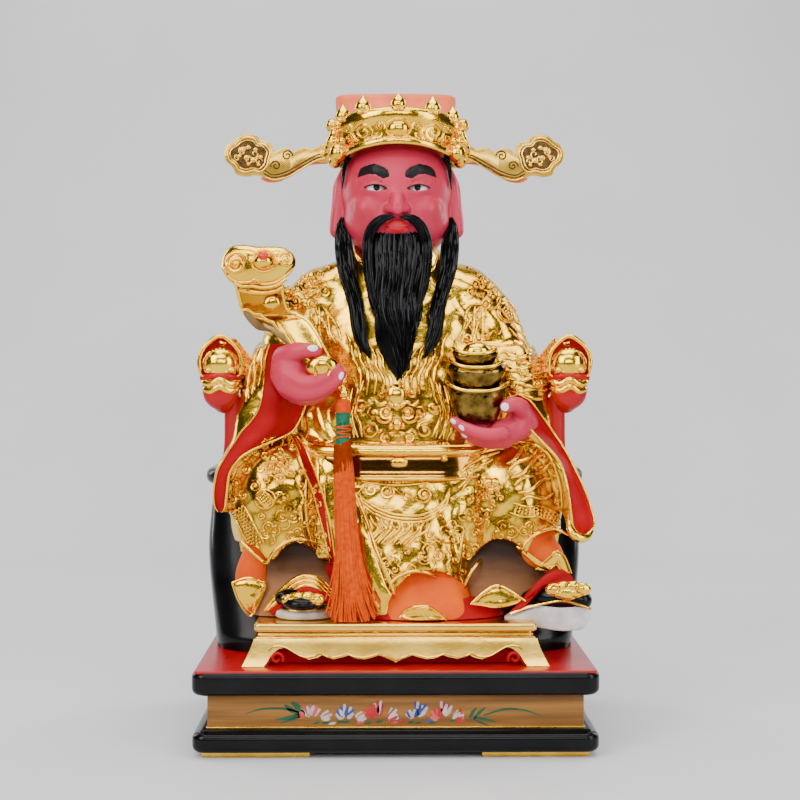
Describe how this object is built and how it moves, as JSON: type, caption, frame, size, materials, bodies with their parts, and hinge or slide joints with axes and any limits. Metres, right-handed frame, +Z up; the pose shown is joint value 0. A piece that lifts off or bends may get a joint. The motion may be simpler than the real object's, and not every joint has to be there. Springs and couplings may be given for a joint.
{
  "type": "caishen figure",
  "caption": "Gilt wealth god seated on a throne with dragon arms and a footstool, holding a sceptre and stacked ingots, on a lacquered plinth.",
  "frame": {"origin": "middle of the plinth's underside", "axes": "+Z up, the figure faces -Y, +X to the viewer's right"},
  "size_m": [0.288, 0.212, 0.4776],
  "materials": {
    "plinth_lacquer": "glossy black lacquer with a red top face and an ochre painted panel",
    "mirror_gold": "mirror gold leaf over cast resin",
    "throne_lacquer": "glossy red and black lacquer over cast resin, gilt on the dragon heads",
    "pale_gold": "matt pale gold over cast resin",
    "thread": "orange thread with a green binding"
  },
  "bodies": {
    "root": {"plinth": "plinth_lacquer", "footstool": "mirror_gold", "throne": "throne_lacquer", "figure": "mirror_gold", "hat_wing_left": "pale_gold", "hat_wing_right": "pale_gold", "ruyi_sceptre": "mirror_gold", "ingot_stack": "mirror_gold", "tassel": "thread"}
  },
  "joints": []
}
